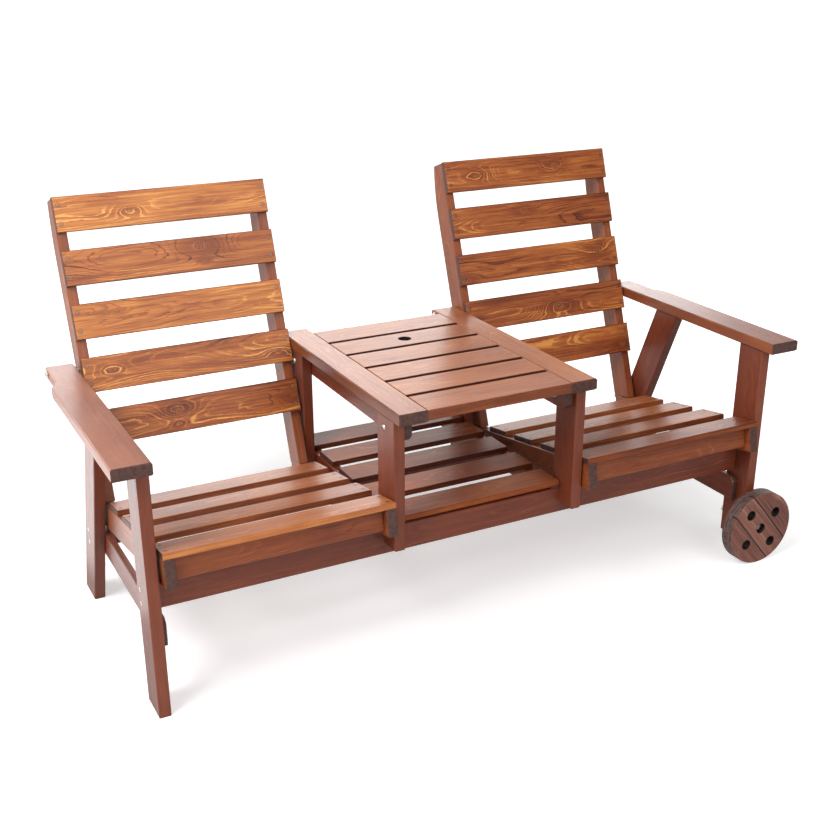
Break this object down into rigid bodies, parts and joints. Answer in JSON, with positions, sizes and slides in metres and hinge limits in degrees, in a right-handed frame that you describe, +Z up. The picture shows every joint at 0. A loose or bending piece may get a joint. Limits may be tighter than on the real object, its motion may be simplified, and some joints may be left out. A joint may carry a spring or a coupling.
{
  "type": "companion seat bench",
  "caption": "Timber garden bench: slatted seats with reclining backs joined by a slatted table with a parasol hole, a shelf below and wheels at the right end.",
  "frame": {"origin": "bottom centre of the bounding box, on the ground", "axes": "+X along the bench to the right-hand end with the wheels, +Y from front to rear, +Z up"},
  "size_m": [2.036, 0.9438, 1.1316],
  "materials": {
    "slat_pine": "orange-brown stained pine, satin",
    "frame_pine": "red-brown stained pine, satin",
    "wheel_pine": "red-brown stained pine, weathered rim",
    "zinc_steel": "bright zinc plate",
    "hinge_steel": "dull zinc plate"
  },
  "bodies": {
    "bench_frame": {"axle_bolts": "zinc_steel", "axle_nuts": "zinc_steel", "axle_washers": "zinc_steel", "front_rail": "frame_pine", "left_armrest": "frame_pine", "left_front_leg": "frame_pine", "left_front_table_leg": "frame_pine", "left_rear_leg": "frame_pine", "left_rear_table_leg": "frame_pine", "left_shelf_bearer": "frame_pine", "left_stretcher": "frame_pine", "left_table_board": "frame_pine", "left_table_rail": "frame_pine", "parasol_slat": "slat_pine", "pivot_bolts": "zinc_steel", "pivot_nuts": "zinc_steel", "pivot_washers": "zinc_steel", "rear_rail": "frame_pine", "right_armrest": "frame_pine", "right_front_leg": "frame_pine", "right_front_table_leg": "frame_pine", "right_rear_leg": "frame_pine", "right_rear_table_leg": "frame_pine", "right_shelf_bearer": "frame_pine", "right_stretcher": "frame_pine", "right_table_board": "frame_pine", "right_table_rail": "frame_pine", "shelf_slats": "slat_pine", "table_leg_bolts": "zinc_steel", "table_leg_nuts": "zinc_steel", "table_slats": "slat_pine"},
    "left_seat": {"left_hinge_pins": "hinge_steel", "left_seat_front_rail": "frame_pine", "left_seat_hinge_leaves": "hinge_steel", "left_seat_inner_rail": "frame_pine", "left_seat_outer_rail": "frame_pine", "left_seat_slats": "slat_pine"},
    "left_back": {"left_back_hinge_leaves": "hinge_steel", "left_back_inner_post": "frame_pine", "left_back_outer_post": "frame_pine", "left_back_slats": "slat_pine"},
    "right_seat": {"right_hinge_pins": "hinge_steel", "right_seat_front_rail": "frame_pine", "right_seat_hinge_leaves": "hinge_steel", "right_seat_inner_rail": "frame_pine", "right_seat_outer_rail": "frame_pine", "right_seat_slats": "slat_pine"},
    "right_back": {"right_back_hinge_leaves": "hinge_steel", "right_back_inner_post": "frame_pine", "right_back_outer_post": "frame_pine", "right_back_slats": "slat_pine"},
    "front_wheel": {"front_wheel_backing_boards": "wheel_pine", "front_wheel_face_boards": "wheel_pine"},
    "rear_wheel": {"rear_wheel_backing_boards": "wheel_pine", "rear_wheel_face_boards": "wheel_pine"}
  },
  "joints": [
    {"name": "left_back_recline", "type": "hinge", "parent": "bench_frame", "child": "left_back", "pos_m": [-0.614, 0.30412, 0.678], "axis": [-1, 0, 0], "range_deg": [0, 10]},
    {"name": "left_seat_slide", "type": "hinge", "parent": "left_back", "child": "left_seat", "pos_m": [-0.614, 0.21865, 0.32547], "axis": [1, 0, 0], "range_deg": [0, 11]},
    {"name": "right_back_recline", "type": "hinge", "parent": "bench_frame", "child": "right_back", "pos_m": [0.578, 0.30412, 0.678], "axis": [-1, 0, 0], "range_deg": [0, 10]},
    {"name": "right_seat_slide", "type": "hinge", "parent": "right_back", "child": "right_seat", "pos_m": [0.578, 0.21865, 0.32547], "axis": [1, 0, 0], "range_deg": [0, 11]},
    {"name": "front_wheel_spin", "type": "hinge", "parent": "bench_frame", "child": "front_wheel", "pos_m": [0.903, -0.45088, 0.115], "axis": [0, 1, 0], "continuous": true},
    {"name": "rear_wheel_spin", "type": "hinge", "parent": "bench_frame", "child": "rear_wheel", "pos_m": [0.903, 0.32112, 0.115], "axis": [0, 1, 0], "continuous": true}
  ],
  "couplings": [
    {"joint": "left_seat_slide", "follows": "left_back_recline", "ratio": 1.087},
    {"joint": "right_seat_slide", "follows": "right_back_recline", "ratio": 1.087}
  ]
}
